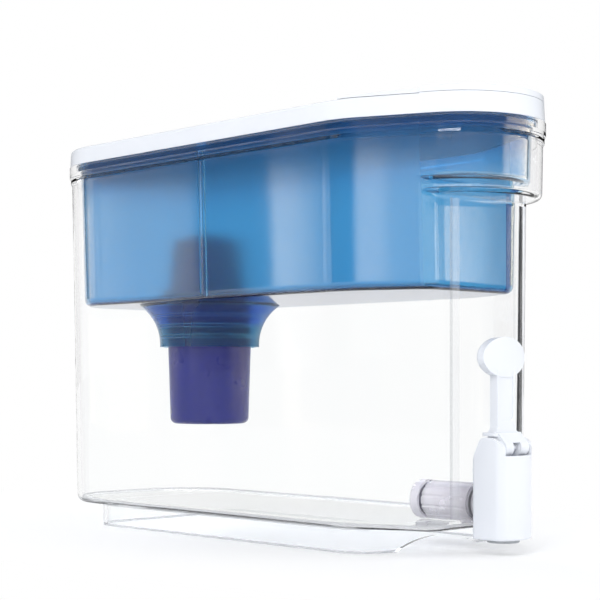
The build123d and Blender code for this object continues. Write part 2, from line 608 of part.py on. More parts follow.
def make_retaining_nut():
    rim_start = NUT_END_Y - NUT_RIM_WIDTH
    body = rod_y(NUT_RADIUS, NUT_START_Y, NUT_END_Y, SHANK_HEIGHT)
    for number in range(NUT_FLUTE_COUNT):
        angle = 2 * pi * (number + 0.5) / NUT_FLUTE_COUNT
        x, z = NUT_RADIUS * 1.05 * cos(angle), NUT_RADIUS * 1.05 * sin(angle)
        flute = Pos(x, 0, z) * rod_y(NUT_RADIUS / 10, NUT_START_Y - 1, rim_start, SHANK_HEIGHT)
        body -= flute
    body += rod_y(NUT_RIM_RADIUS, rim_start, NUT_END_Y, SHANK_HEIGHT)
    groove_start = rim_start - NUT_GROOVE_WIDTH
    body -= (rod_y(NUT_RIM_RADIUS, groove_start, rim_start, SHANK_HEIGHT)
             - rod_y(NUT_RADIUS - NUT_GROOVE_DEPTH, groove_start, rim_start, SHANK_HEIGHT))
    body += rod_y(NUT_RIM_RADIUS, NUT_START_Y, NUT_START_Y + TAP_FLANGE_THICKNESS, SHANK_HEIGHT)
    return body - rod_y(SHANK_RADIUS + PRESS_FIT, NUT_START_Y - 1, NUT_END_Y + 1, SHANK_HEIGHT)


def cover_plan(inset):
    """Section of the tap cover seen from above: flat back, straight sides, convex front."""
    half = COVER_WIDTH / 2 - inset
    radius = COVER_FRONT_RADIUS - inset
    front = COVER_FRONT_Y + inset
    corner_y = front + radius - sqrt(radius ** 2 - half ** 2)
    rear = COVER_REAR_Y + (1 if inset else 0)
    outline = [Line((half, corner_y), (half, rear)), Line((half, rear), (-half, rear)),
               Line((-half, rear), (-half, corner_y)),
               ThreePointArc((-half, corner_y), (0, front), (half, corner_y))]
    face = make_face(outline)
    face = fillet(face.vertices().group_by(Axis.Y)[0], COVER_CORNER_RADIUS - inset)
    return face if inset else fillet(face.vertices().group_by(Axis.Y)[-1], COVER_WALL)


def cheek_profile():
    """Side view of the tap cover, extruded across it: high cheeks behind a lower front wall."""
    front = COVER_FRONT_Y - 1
    slope_foot = COVER_FRONT_Y + COVER_WALL
    shoulder = PIVOT_Y + 2.0
    points = [(COVER_REAR_Y + 2, COVER_BOTTOM), (COVER_REAR_Y + 2, COVER_TOP - 18),
              (COVER_REAR_Y - 6.5, COVER_TOP), (shoulder, COVER_TOP),
              (slope_foot, COVER_FRONT_TOP + 6), (slope_foot, COVER_FRONT_TOP),
              (front, COVER_FRONT_TOP), (front, COVER_BOTTOM)]
    outline = FilletPolyline(*[(0, y, z) for y, z in points], radius=[0, 24, 4, 6, 6, 0, 0, 0], close=True)
    return extrude(make_face(outline), COVER_WIDTH, dir=(1, 0, 0), both=True)


def make_tap_cover():
    body = at(COVER_BOTTOM, extrude(cover_plan(0), COVER_TOP - COVER_BOTTOM))
    body = fillet(body.edges().group_by(Axis.Z)[0], COVER_WALL / 2)
    inside = at(COVER_BOTTOM + COVER_WALL, extrude(cover_plan(COVER_WALL), COVER_TOP))
    opening = COVER_INNER_HALF - 2 * LOOSE_FIT
    body = (body & cheek_profile()) - inside
    body -= block(-opening, opening, COVER_FRONT_Y - 1, PIVOT_Y, COVER_FRONT_TOP, COVER_TOP + 1)
    body -= post(CHAMBER_RADIUS + PRESS_FIT, 0, COVER_BOTTOM + COVER_WALL + 1, 0, PLUNGER_Y)
    deck = at(CHAMBER_TOP, extrude(cover_plan(COVER_WALL / 2), DECK_THICKNESS))
    deck &= block(-COVER_WIDTH, COVER_WIDTH, COVER_FRONT_Y, COVER_REAR_Y, 0, COVER_TOP)
    body += deck - post(CHAMBER_RADIUS - COVER_WALL / 2 + PRESS_FIT, 0, COVER_TOP, 0, PLUNGER_Y)
    for side in (-1, 1):
        inner = COVER_INNER_HALF - 1.7
        ends = sorted((side * inner, side * (COVER_INNER_HALF + COVER_WALL / 2)))
        body += rod_x(LEVER_PIN_RADIUS + COVER_WALL - 0.4, *ends, PIVOT_Y, PIVOT_HEIGHT)
    bore_end = LEVER_PIN_REACH + LOOSE_FIT
    return body - rod_x(LEVER_PIN_RADIUS + PRESS_FIT, -bore_end, bore_end, PIVOT_Y, PIVOT_HEIGHT)


def make_chamber_cap():
    """Bush that closes the chamber, guides the plunger stem and holds the ring that seals it."""
    neck = CHAMBER_RADIUS - COVER_WALL / 2
    plug = CHAMBER_BORE_RADIUS - PRESS_FIT
    body = post(plug, CHAMBER_TOP - 4, CHAMBER_TOP, 0, PLUNGER_Y) + post(neck, CHAMBER_TOP, CAP_TOP, 0, PLUNGER_Y)
    body -= post(STEM_RADIUS + RUNNING_FIT, 0, CAP_TOP + 1, 0, PLUNGER_Y)
    return body - post(STEM_RADIUS * 2.2, 0, CHAMBER_TOP - 2, 0, PLUNGER_Y)


def make_stem_ring():
    """Sealing ring around the plunger stem, seated in the bush."""
    wire = STEM_RADIUS * 0.55
    return Pos(0, PLUNGER_Y, CHAMBER_TOP - 3) * Torus(STEM_RADIUS + RUNNING_FIT + wire, wire)


def make_outlet_ring():
    body = post(SPOUT_RADIUS, SPOUT_BOTTOM, COVER_BOTTOM, 0, PLUNGER_Y)
    body = fillet(body.edges().group_by(Axis.Z)[0], 0.8)
    body -= post(SPOUT_BORE_RADIUS, SPOUT_BOTTOM - 1, COVER_BOTTOM + 1, 0, PLUNGER_Y)
    return body - post(CHAMBER_RADIUS + PRESS_FIT, CHAMBER_BOTTOM, COVER_BOTTOM + 1, 0, PLUNGER_Y)


SEAL_TOP = PLUNGER_FOOT + 1.2
SPRING_LOW = SEAL_TOP + 4.0
SPRING_HIGH = CHAMBER_TOP - 4.0


def make_plunger():
    """Stem with a lifting head on top, a spring collar and the foot that carries the seal."""
    body = post(STEM_RADIUS, SEAL_TOP, HEAD_UNDERSIDE + HEAD_THICKNESS, 0, PLUNGER_Y)
    body += post(HEAD_RADIUS, HEAD_UNDERSIDE, HEAD_UNDERSIDE + HEAD_THICKNESS, 0, PLUNGER_Y)
    return body + post(SPRING_RADIUS + SPRING_WIRE_RADIUS, SEAL_TOP, SPRING_LOW, 0, PLUNGER_Y)


def make_valve_seal():
    return post(VALVE_HOLE_RADIUS + 1.3, PLUNGER_FOOT, SEAL_TOP, 0, PLUNGER_Y)


def make_return_spring():
    wire = SPRING_WIRE_RADIUS
    height = SPRING_HIGH - SPRING_LOW - 2 * wire
    path = Helix(height / SPRING_TURNS, height, SPRING_RADIUS)
    section = Plane(origin=path @ 0, z_dir=path % 0) * Circle(wire)
    return Pos(0, PLUNGER_Y, SPRING_LOW + wire) * sweep(section, path=path, is_frenet=True)


def make_lever():
    """Oval thumb pad on a flat stem, with a forked base that turns on the pin and lifts the plunger."""
    stem_rear = PLUNGER_Y + LEVER_STEM_THICKNESS / 2 + 0.4
    stem_front = stem_rear - LEVER_STEM_THICKNESS
    half = LEVER_STEM_WIDTH / 2
    base_half = COVER_INNER_HALF - LOOSE_FIT
    base_low = COVER_TOP + 2 * LOOSE_FIT
    base_high = base_low + 2.0
    stem_top = PAD_CENTRE_HEIGHT
    points = [(half, stem_top), (half, base_high), (base_half, base_high), (base_half, base_low),
              (-base_half, base_low), (-base_half, base_high), (-half, base_high), (-half, stem_top)]
    outline = FilletPolyline(*points, radius=[0, LEVER_FLARE_RADIUS, 0, 0, 0, 0, LEVER_FLARE_RADIUS, 0], close=True)
    front_plane = Plane(origin=(0, stem_rear, 0), x_dir=(1, 0, 0), z_dir=(0, -1, 0))
    body = extrude(front_plane * make_face(outline), LEVER_STEM_THICKNESS)
    recess_half = half - LEVER_RECESS_MARGIN
    recess_low = base_high + LEVER_FLARE_RADIUS + 3
    recess = block(-recess_half, recess_half, stem_front - 1, stem_front + LEVER_RECESS_DEPTH,
                   recess_low, stem_top)
    body -= fillet(recess.edges().filter_by(Axis.Y).group_by(Axis.Z)[0], LEVER_RECESS_MARGIN * 2)

    plate = block(-base_half, base_half, PIVOT_Y + 1, stem_rear + 3, base_low, base_high)
    body += fillet(plate.edges().filter_by(Axis.Z), 1.8)

    lug_inner = HEAD_RADIUS + 2 * LOOSE_FIT
    lug_outer = COVER_INNER_HALF - 1.7 - LOOSE_FIT
    tip = (PLUNGER_Y, PIVOT_HEIGHT - FINGER_REACH * sin(LEVER_SWING / 2))
    brow = (PIVOT_Y - HUB_RADIUS * 0.8, PIVOT_HEIGHT + HUB_RADIUS * 0.6)
    for side in (-1, 1):
        ends = sorted((side * lug_inner, side * lug_outer))
        lug = rod_x(HUB_RADIUS, *ends, PIVOT_Y, PIVOT_HEIGHT)
        neck = make_face(Polyline([(ends[0], *brow),
                                   (ends[0], tip[0], tip[1] - FINGER_RADIUS),
                                   (ends[0], tip[0], tip[1] + FINGER_RADIUS),
                                   (ends[0], stem_rear, base_low), (ends[0], stem_rear, base_high),
                                   (ends[0], PIVOT_Y + 1, base_high)], close=True))
        lug += extrude(neck, lug_outer - lug_inner, dir=(1, 0, 0))
        finger_ends = sorted((side * (STEM_RADIUS + 2 * LOOSE_FIT), side * lug_outer))
        lug += rod_x(FINGER_RADIUS, *finger_ends, *tip)
        body += lug
        lobe_ends = sorted((side * LEVER_NOTCH_WIDTH / 2, side * (lug_inner + 1)))
        body += rod_x(HUB_RADIUS, *lobe_ends, PIVOT_Y, PIVOT_HEIGHT) & ahead_of(PIVOT_Y)
    bridge = make_face(Polyline([(0, *brow), (0, PIVOT_Y + 1, brow[1]), (0, PIVOT_Y + 1, base_high)], close=True))
    body += extrude(bridge, lug_inner + 1, dir=(1, 0, 0), both=True)
    body += make_thumb_pad(stem_front)
    return body - rod_x(LEVER_PIN_RADIUS + RUNNING_FIT, -COVER_WIDTH, COVER_WIDTH, PIVOT_Y, PIVOT_HEIGHT)


def make_thumb_pad(stem_front):
    """Oval disc with rounded edges and a gently crowned front."""
    front = stem_front - 0.5
    oval = Plane(origin=(0, front + PAD_THICKNESS, PAD_CENTRE_HEIGHT), x_dir=(1, 0, 0), z_dir=(0, -1, 0))
    pad = extrude(oval * Ellipse(PAD_WIDTH / 2, PAD_HEIGHT / 2), PAD_THICKNESS)
    pad = fillet(pad.edges().group_by(Axis.Y)[-1], 1.8)
    return pad & Pos(0, front + PAD_CROWN_RADIUS, PAD_CENTRE_HEIGHT) * Sphere(PAD_CROWN_RADIUS)


def make_lever_pin():
    return rod_x(LEVER_PIN_RADIUS, -LEVER_PIN_REACH, LEVER_PIN_REACH, PIVOT_Y, PIVOT_HEIGHT)


# ---------------------------------------------------------------- write the parts
def main():
    outlet_screen, filter_media, inlet_screen = make_filter_inside()
    pieces = {
        "tank": make_tank(),
        "reservoir": make_reservoir(),
        "filter_housing": make_filter_housing(),
        "filter_cap": make_filter_cap(),
        "filter_media": filter_media,
        "inlet_screen": inlet_screen,
        "outlet_screen": outlet_screen,
        "filter_seal": make_filter_seal(),
        "lid": make_lid(),
        "door_pin": make_door_pin(),
        "fill_door": make_fill_door(),
        "spigot_body": make_spigot_body(),
        "outer_washer": make_washer(NUT_RIM_RADIUS, WASHER_FRONT_Y, PANEL_Y),
        "inner_washer": make_washer(INNER_WASHER_RADIUS, PANEL_INNER_Y, NUT_START_Y),
        "retaining_nut": make_retaining_nut(),
        "tap_cover": make_tap_cover(),
        "chamber_cap": make_chamber_cap(),
        "stem_ring": make_stem_ring(),
        "outlet_ring": make_outlet_ring(),
        "lever_pin": make_lever_pin(),
        "lever": make_lever(),
        "plunger": make_plunger(),
        "valve_seal": make_valve_seal(),
        "return_spring": make_return_spring(),
    }
    os.makedirs("parts", exist_ok=True)
    for name, shape in pieces.items():
        export_step(shape, f"parts/{name}.step")


main()
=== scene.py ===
import math
from typing import NamedTuple

import bmesh
import bpy
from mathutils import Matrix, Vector


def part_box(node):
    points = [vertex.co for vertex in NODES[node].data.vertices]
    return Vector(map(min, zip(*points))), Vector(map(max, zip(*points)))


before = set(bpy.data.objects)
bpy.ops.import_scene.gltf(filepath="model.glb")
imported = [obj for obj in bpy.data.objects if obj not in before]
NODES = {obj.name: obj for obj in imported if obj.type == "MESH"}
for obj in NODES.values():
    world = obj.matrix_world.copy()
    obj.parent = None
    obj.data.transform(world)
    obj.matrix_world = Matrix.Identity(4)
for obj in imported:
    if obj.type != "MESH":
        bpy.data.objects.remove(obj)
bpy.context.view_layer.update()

# ---------------------------------------------------------------- node helpers
WHITE = (1.0, 1.0, 1.0, 1.0)
NOISE_LOW, NOISE_HIGH = 0.3, 0.7     # most values of a noise lie between these
UPRIGHT_Z, LEVEL_Z = 0.4, 0.9        # a normal's Z: below the first is upright, above the second is level
HALF_SEAM = 0.001                    # half the width in which the near side changes to the far side
MIX_A, MIX_B, MIX_OUT = 6, 7, 2      # the colour sockets of a mix node, whose names repeat


def rgb(r, g, b):
    """Linear colour from 0-255 display values."""
    def lin(v):
        v = v / 255
        return v / 12.92 if v <= 0.04045 else ((v + 0.055) / 1.055) ** 2.4
    return (lin(r), lin(g), lin(b), 1.0)


class Graph:
    """A node tree with short helpers. A mask is a value that is 1 in one place and 0 elsewhere."""

    def __init__(self, tree):
        self.nt = tree

    def link(self, a, b):
        self.nt.links.new(a, b)

    def feed(self, socket, value):
        """Set a socket to a number or a tuple, or link an output to it."""
        if isinstance(value, (int, float, tuple)):
            socket.default_value = value
        else:
            self.link(value, socket)

    def node(self, kind, inputs=(), **props):
        """A new node, with its inputs fed by name and its properties set."""
        n = self.nt.nodes.new(kind)
        for key, value in props.items():
            setattr(n, key, value)
        for key, value in dict(inputs).items():
            self.feed(n.inputs[key], value)
        return n

    def math(self, op, *values):
        n = self.node("ShaderNodeMath", operation=op)
        for socket, value in zip(n.inputs, values):
            self.feed(socket, value)
        return n.outputs[0]

    def product(self, first, *others):
        """The values multiplied. The product of masks is the place where all of them are 1."""
        for value in others:
            first = self.math("MULTIPLY", first, value)
        return first

    def total(self, first, *others):
        for value in others:
            first = self.math("ADD", first, value)
        return first

    def inverse(self, value):
        return self.math("SUBTRACT", 1.0, value)

    def above(self, value, edge):
        return self.math("GREATER_THAN", value, edge)

    def below(self, value, edge):
        return self.math("LESS_THAN", value, edge)

    def between(self, value, low, high):
        return self.product(self.above(value, low), self.below(value, high))

    def at_least(self, depth, count):
        """Mask of the rays whose depth, a whole number, is count or more."""
        return self.above(depth, count - 0.5)

    def fewer_than(self, depth, count):
        return self.below(depth, count - 0.5)

    def remap(self, value, a0, a1, b0, b1, interpolation="LINEAR"):
        """The range a0 to a1 of the value laid over b0 to b1, and held beyond its ends."""
        names = ("Value", "From Min", "From Max", "To Min", "To Max")
        inputs = zip(names, (value, a0, a1, b0, b1))
        return self.node("ShaderNodeMapRange", inputs, interpolation_type=interpolation).outputs["Result"]

    def rise(self, value, start, end):
        return self.remap(value, start, end, 0, 1)

    def fall(self, value, start, end):
        return self.remap(value, start, end, 1, 0)

    def mix_shader(self, share, a, b):
        """Shader a where share is 0, and shader b where it is 1."""
        n = self.node("ShaderNodeMixShader")
        for socket, value in zip(n.inputs, (share, a, b)):
            self.feed(socket, value)
        return n.outputs[0]


class Mat(Graph):
    """A material that starts with a Principled shader and object coordinates."""

    def __init__(self, name, **sockets):
        self.mat = bpy.data.materials.new(name)
        self.mat.use_nodes = True
        super().__init__(self.mat.node_tree)
        self.bsdf = self.nt.nodes["Principled BSDF"]
        self.coord = self.node("ShaderNodeTexCoord").outputs["Object"]
        self.set(**sockets)

    def set(self, **sockets):
        """Feed sockets of the Principled shader, whose names are written with _ for spaces."""
        for key, value in sockets.items():
            self.feed(self.bsdf.inputs[key.replace("_", " ")], value)

    def surface(self, shader):
        self.link(shader, self.nt.nodes["Material Output"].inputs["Surface"])

    def stretched(self, scale):
        """Object coordinates, scaled along each axis."""
        return self.node("ShaderNodeMapping", {"Scale": scale, "Vector": self.coord}).outputs["Vector"]

    def noise(self, scale, detail, rough=0.5, stretch=None):
        source = self.stretched(stretch) if stretch else self.coord
        inputs = {"Scale": scale, "Detail": detail, "Roughness": rough, "Vector": source}
        return self.node("ShaderNodeTexNoise", inputs).outputs["Fac"]

    def spread(self, noise, low=0, high=1):
        """A noise made to run from low to high."""
        return self.remap(noise, NOISE_LOW, NOISE_HIGH, low, high)

    def mix(self, fac, a, b):
        """Colour a where fac is 0, and colour b where it is 1."""
        n = self.node("ShaderNodeMix", {"Factor": fac}, data_type="RGBA")
        self.feed(n.inputs[MIX_A], a)
        self.feed(n.inputs[MIX_B], b)
        return n.outputs[MIX_OUT]

    def painted(self, color, coats):
        """The colour with coats, each a mask and a colour, laid over it in turn."""
        for where, coat in coats:
            color = self.mix(where, color, coat)
        return color

    def bump(self, height, strength, distance):
        inputs = {"Strength": strength, "Distance": distance, "Height": height}
        self.set(Normal=self.node("ShaderNodeBump", inputs).outputs["Normal"])

    def grain(self, rough, rough_scale, bump, bump_scale, rough_detail=3, stretch=None, distance=0.0002):
        """Roughness that wanders between two values, and fine bumps."""
        self.set(Roughness=self.spread(self.noise(rough_scale, rough_detail, stretch=stretch), *rough))
        self.bump(self.noise(bump_scale, 2, stretch=stretch), bump, distance)

    def axis(self, name):
        return self.node("ShaderNodeSeparateXYZ", {"Vector": self.coord}).outputs[name]

    def places(self):
        """Distance from the middle plane, place from front (below 0) to rear, and height."""
        return self.math("ABSOLUTE", self.axis("X")), self.axis("Y"), self.axis("Z")

    def by_side(self, near, far):
        """One value on the near side of the object, and another on the far side."""
        return self.remap(self.axis("X"), -HALF_SEAM, HALF_SEAM, near, far)

    def turned_away(self):
        """How far the surface turns away, how upright it is, and whether it faces out (above 0) or in."""
        facing = self.node("ShaderNodeLayerWeight", {"Blend": 0.5}).outputs["Facing"]
        geometry = self.node("ShaderNodeNewGeometry").outputs
        normal = self.node("ShaderNodeSeparateXYZ", {"Vector": geometry["Normal"]}).outputs
        upright = self.fall(self.math("ABSOLUTE", normal["Z"]), UPRIGHT_Z, LEVEL_Z)
        across = self.product(normal["X"], self.axis("X"))
        along = self.product(normal["Y"], self.axis("Y"))
        front_side = self.remap(geometry["Backfacing"], 0, 1, 1, -1)
        return facing, upright, self.product(self.total(across, along), front_side)

    def from_front(self):
        """Mask of the rays that meet the surface from outside the solid."""
        return self.inverse(self.node("ShaderNodeNewGeometry").outputs["Backfacing"])

    def let_lamps_through(self, tint):
        """Rays from the lamps pass the walls with a tint, so what stands behind them is lit."""
        clear = self.node("ShaderNodeBsdfTransparent", {"Color": tint}).outputs[0]
        from_lamp = self.node("ShaderNodeLightPath").outputs["Is Shadow Ray"]
        self.surface(self.mix_shader(from_lamp, self.bsdf.outputs[0], clear))


# ---------------------------------------------------------------- materials
# Painted shade and light on a wall change as it turns away, from 0 face on to 1 edge on: where each begins
# and is full.
EDGE_TURN = (0.7, 0.98)
WALL_TURN, GRAZING_TURN, SKIRT_TURN = (0.50, 0.54), (0.90, 0.99), (0.80, 0.92)
CORNER_INNER_TURN, CORNER_OUTER_TURN = (0.36, 0.40), (0.42, 0.48)


def gloss_white():
    """White moulded polypropylene: slight cool tone, faint flow marks and fine orange peel."""
    m = Mat("white_moulding", IOR=1.49, Specular_IOR_Level=0.22)
    flow = m.spread(m.noise(9, 4, rough=0.55, stretch=(1, 1, 0.35)))
    m.set(Base_Color=m.mix(flow, rgb(233, 236, 242), rgb(240, 242, 246)))
    m.grain(rough=(0.18, 0.27), rough_scale=60, rough_detail=2, bump=0.05, bump_scale=420)
    return m.mat


# Where the paint of the tank lies. A side is a distance from the middle plane, and a front is a Y.
SKIRT_RIM, SKIRT_TOP = 0.0012, 0.0132
BOTTOM_EDGE_HEIGHTS = (0.0130, 0.0172)
# Painted refraction strips beside the tap panel: where they lie.
REFRACTION_STRIP_FRONTS, REFRACTION_STRIP_HEIGHTS = (-0.1530, -0.1505), (0.020, 0.196)
REFRACTION_BAND_SIDES, REFRACTION_LINE_SIDES = (0.0208, 0.0290), (0.0268, 0.0290)
REFRACTION_FAR_SHARE = 0.3
CORNER_HEIGHTS = (0.0180, 0.1965)
CORNER_INNER_FRONTS, CORNER_INNER_SIDE = (-0.1500, -0.1412), 0.0405
CORNER_OUTER_FRONT, CORNER_OUTER_SIDE = -0.1385, 0.0360


def clear_plastic():
    """Clear plastic, nearly colourless, with soft moulding waves; its greyer edges and the strips and corners
    by the tap are painted shade and light.
    """
    m = Mat("clear_plastic", IOR=1.16)
    wave = m.noise(14, 2, stretch=(1, 1, 0.25))
    side, front, height = m.places()
    facing, upright, outward = m.turned_away()
    outside = m.above(outward, 0.0)

    # Painted shade for the dark lines the walls' refraction draws: walls that turn away are a little grey,
    # more so at grazing angles, and the skirt under the tank most.
    on_skirt = m.product(upright, m.below(height, SKIRT_TOP))
    body = m.painted(m.mix(m.spread(wave), rgb(253, 254, 254), rgb(255, 255, 255)), (
        (m.product(m.rise(facing, *WALL_TURN), upright), rgb(247, 247, 248)),
        (m.product(m.rise(facing, *GRAZING_TURN), upright), rgb(230, 231, 233)),
        (m.product(m.rise(facing, *SKIRT_TURN), on_skirt), rgb(120, 122, 126)),
    ))

    # Painted refraction on each side of the tap panel, standing in for how its rounded corner bends light: a
    # grey line and a paler band beside it, fainter on the far side.
    on_panel = m.product(m.between(front, *REFRACTION_STRIP_FRONTS), m.between(height, *REFRACTION_STRIP_HEIGHTS))
    refraction_strips = m.product(on_panel, m.by_side(1, REFRACTION_FAR_SHARE))
    band = m.product(m.between(side, *REFRACTION_BAND_SIDES), refraction_strips)
    line = m.product(m.between(side, *REFRACTION_LINE_SIDES), refraction_strips)

    # Where a panel corner turns away its inner face is painted dark, painted shade as a thick clear corner
    # shows seen along its wall, and its outer face is painted pale, painted light.
    at_corner = m.between(height, *CORNER_HEIGHTS)
    dark = m.product(
        m.rise(facing, *CORNER_INNER_TURN), m.below(outward, 0.0), at_corner,
        m.between(front, *CORNER_INNER_FRONTS), m.below(side, CORNER_INNER_SIDE),
    )
    pale = m.product(
        m.rise(facing, *CORNER_OUTER_TURN), outside, at_corner,
        m.below(front, CORNER_OUTER_FRONT), m.above(side, CORNER_OUTER_SIDE),
    )

    # Painted grey edge lines, made by frosting: round the bottom of the tank and under the skirt, standing in
    # for the grey lines refraction draws at these edges.
    bottom = m.product(m.between(height, *BOTTOM_EDGE_HEIGHTS), outside, upright)
    foot = m.below(height, SKIRT_RIM)

    # Each of these places with its colour and how much of its clearness it loses.
    clearness = 1.0
    for where, color, frost in (
        (band, rgb(240, 241, 242), 0.18),
        (line, rgb(206, 208, 210), 0.0),
        (dark, rgb(40, 41, 45), 0.9),
        (pale, rgb(248, 248, 249), 0.85),
        (bottom, rgb(214, 215, 217), 0.5),
        (foot, rgb(214, 215, 217), 0.3),
    ):
        body = m.mix(where, body, color)
        clearness = m.math("SUBTRACT", clearness, m.product(where, frost))
    m.set(Base_Color=body, Transmission_Weight=clearness, Roughness=m.spread(m.noise(30, 2), 0.0, 0.02))
    m.bump(wave, 0.05, 0.001)
    m.let_lamps_through(rgb(250, 251, 252))
    return m.mat


# Where the paint of the reservoir lies, in the same terms.
RIM_FADE_HEIGHTS, RIM_HEIGHTS = (0.2170, 0.2345), (0.2352, 0.2362)
NAVY_SIDES, NAVY_HEIGHTS = (0.0276, 0.0324), (0.1460, 0.1975)
NAVY_FRONT_NEAR, NAVY_FRONT_FAR = -0.1464, -0.1430
LOWER_EDGE_HEIGHTS = (0.1458, 0.1474)
FACE_FRONT, FACE_HEIGHTS = -0.1400, (0.1474, 0.2040)
NOSE_FLOOR_FRONT, NOSE_FLOOR_HEIGHTS = -0.1486, (0.2045, 0.2092)
SOCKET_HEIGHTS, SOCKET_END_HEIGHTS = (0.1440, 0.1456), (0.1300, 0.1340)
POLISH_HEIGHTS = (0.1460, 0.1500)
WELL_INSIDE = -0.005     # below this a face surely looks inwards
INSIDE_ROUGHNESS = 0.33


def blue_plastic():
    """Translucent blue plastic with slow streaks and a polished outside; its edges and corners carry painted
    navy shade, its rim painted shade and its front face painted light.
    """
    m = Mat("blue_plastic", IOR=1.27, Transmission_Weight=0.96, Coat_IOR=1.6, Coat_Roughness=0.04)
    streak = m.noise(11, 3, stretch=(1, 1, 0.2))
    side, front, height = m.places()
    facing, upright, outward = m.turned_away()
    seen_outside = m.product(m.above(outward, 0.0), m.from_front())

    # Painted shade in navy, for the dark lines thick plastic shows: the corners of the front face and the
    # lower edge.
    corner_front = m.below(front, m.by_side(NAVY_FRONT_NEAR, NAVY_FRONT_FAR))
    corner = m.product(m.between(side, *NAVY_SIDES), corner_front, m.between(height, *NAVY_HEIGHTS))
    navy = m.math("MAXIMUM", corner, m.between(height, *LOWER_EDGE_HEIGHTS))
    off_corner = m.inverse(corner)

    # Towards the rim the walls darken, painted shade where the lid's shaded underside shows through, and the
    # rim flange is deeper; the flat front face and the floor of the nose are paler, and the socket below the
    # walls is deeper again.
    # The paler front face is painted light, standing in for the studio's reflection on it.
    face = m.product(m.below(front, FACE_FRONT), m.between(height, *FACE_HEIGHTS), off_corner)
    nose_floor = m.product(m.between(height, *NOSE_FLOOR_HEIGHTS), m.below(front, NOSE_FLOOR_FRONT))
    # Painted shade: outside walls that turn away from view are painted dark navy, for the outlines refraction
    # draws at the edges.
    painted_edge_shade = m.product(m.rise(facing, *EDGE_TURN), upright, seen_outside)
    wall = m.painted(m.mix(m.spread(streak), rgb(110, 190, 229), rgb(124, 200, 235)), (
        (m.rise(height, *RIM_FADE_HEIGHTS), rgb(84, 158, 206)),
        (m.rise(height, *RIM_HEIGHTS), rgb(90, 156, 208)),
        (navy, rgb(40, 74, 128)),
        (face, rgb(152, 208, 236)),
        (nose_floor, rgb(186, 214, 234)),
        (m.fall(height, *SOCKET_HEIGHTS), rgb(76, 150, 222)),
        (m.fall(height, *SOCKET_END_HEIGHTS), rgb(76, 168, 204)),
        (painted_edge_shade, rgb(28, 62, 120)),
    ))

    # The outside of the walls is polished. The inside is matt, which blurs what stands behind it.
    polish = m.product(m.rise(height, *POLISH_HEIGHTS), seen_outside, off_corner)
    matt = m.product(m.below(outward, WELL_INSIDE), m.above(front, FACE_FRONT), INSIDE_ROUGHNESS)
    roughness = m.total(m.spread(m.noise(40, 2), 0.02, 0.07), matt)
    m.set(Base_Color=wall, Coat_Weight=polish, Roughness=roughness)
    m.bump(streak, 0.03, 0.001)
    m.let_lamps_through(rgb(150, 200, 235))
    return m.mat


def indigo_plastic():
    """Deep indigo plastic of the cartridge, smooth, with a faint flow pattern."""
    m = Mat("indigo_plastic", IOR=1.45)
    patch = m.spread(m.noise(22, 4, stretch=(1, 1, 0.4)))
    m.set(Base_Color=m.mix(patch, rgb(17, 25, 104), rgb(27, 36, 118)))
    m.grain(rough=(0.25, 0.4), rough_scale=90, bump=0.08, bump_scale=700)
    return m.mat


def carbon_grains():
    """Black granules in the cartridge."""
    m = Mat("carbon_grains", Roughness=0.85)
    grains = m.node("ShaderNodeTexVoronoi", {"Scale": 900, "Vector": m.coord}).outputs["Distance"]
    m.set(Base_Color=m.mix(grains, rgb(52, 52, 54), rgb(16, 16, 18)))
    m.bump(grains, 0.7, 0.0006)
    return m.mat


def woven_mesh():
    """Grey screens of crossing threads."""
    m = Mat("woven_mesh", Roughness=0.6)
    inputs = {"Scale": 320, "Vector": m.coord}
    threads = [m.node("ShaderNodeTexWave", inputs, bands_direction=axis).outputs["Fac"] for axis in "XY"]
    weave = m.math("MAXIMUM", *threads)
    m.set(Base_Color=m.mix(weave, rgb(90, 94, 102), rgb(190, 194, 200)))
    m.bump(weave, 0.5, 0.0003)
    return m.mat


def dark_rubber():
    """Near-black rubber of the seals."""
    m = Mat("dark_rubber")
    m.set(Base_Color=m.mix(m.noise(60, 4), rgb(34, 34, 38), rgb(58, 58, 62)))
    m.grain(rough=(0.45, 0.7), rough_scale=140, bump=0.15, bump_scale=900)
    return m.mat


def lilac_plastic(name="lilac_plastic", transmission=0.3, rough=(0.2, 0.4), groove=None):
    """Frosted, pale grey-lilac plastic of the valve body and the plunger, with painted shade at faces that
    turn away and in a groove between two Ys.
    """
    m = Mat(name, IOR=1.35, Transmission_Weight=transmission)
    color = m.mix(m.spread(m.noise(40, 4)), rgb(240, 237, 241), rgb(248, 246, 249))
    # Painted shade in the groove, where shade falls.
    if groove:
        color = m.mix(m.between(m.axis("Y"), *groove), color, rgb(84, 82, 94))
    # Painted shade: faces that turn away from view are painted grey.
    facing, upright, _ = m.turned_away()
    painted_edge_shade = m.product(m.rise(facing, *EDGE_TURN), upright)
    m.set(Base_Color=m.mix(painted_edge_shade, color, rgb(178, 174, 184)))
    m.grain(rough=rough, rough_scale=110, bump=0.08, bump_scale=500)
    m.let_lamps_through(rgb(236, 234, 240))
    return m.mat


def nut_plastic():
    """The same frosted plastic, clearer, on the nut, with painted shade in the groove behind its rim."""
    rim_width, groove_shade_width = 0.0055, 0.0028
    groove_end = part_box("retaining_nut")[1][1] - rim_width
    return lilac_plastic("nut_plastic", 0.45, (0.15, 0.3), (groove_end - groove_shade_width, groove_end))


def pale_silicone():
    """Milky washers on both sides of the panel."""
    m = Mat("pale_silicone", IOR=1.4, Transmission_Weight=0.3)
    m.set(Base_Color=m.mix(m.noise(60, 4), rgb(204, 202, 210), rgb(222, 220, 227)))
    m.grain(rough=(0.4, 0.6), rough_scale=140, bump=0.1, bump_scale=900)
    return m.mat


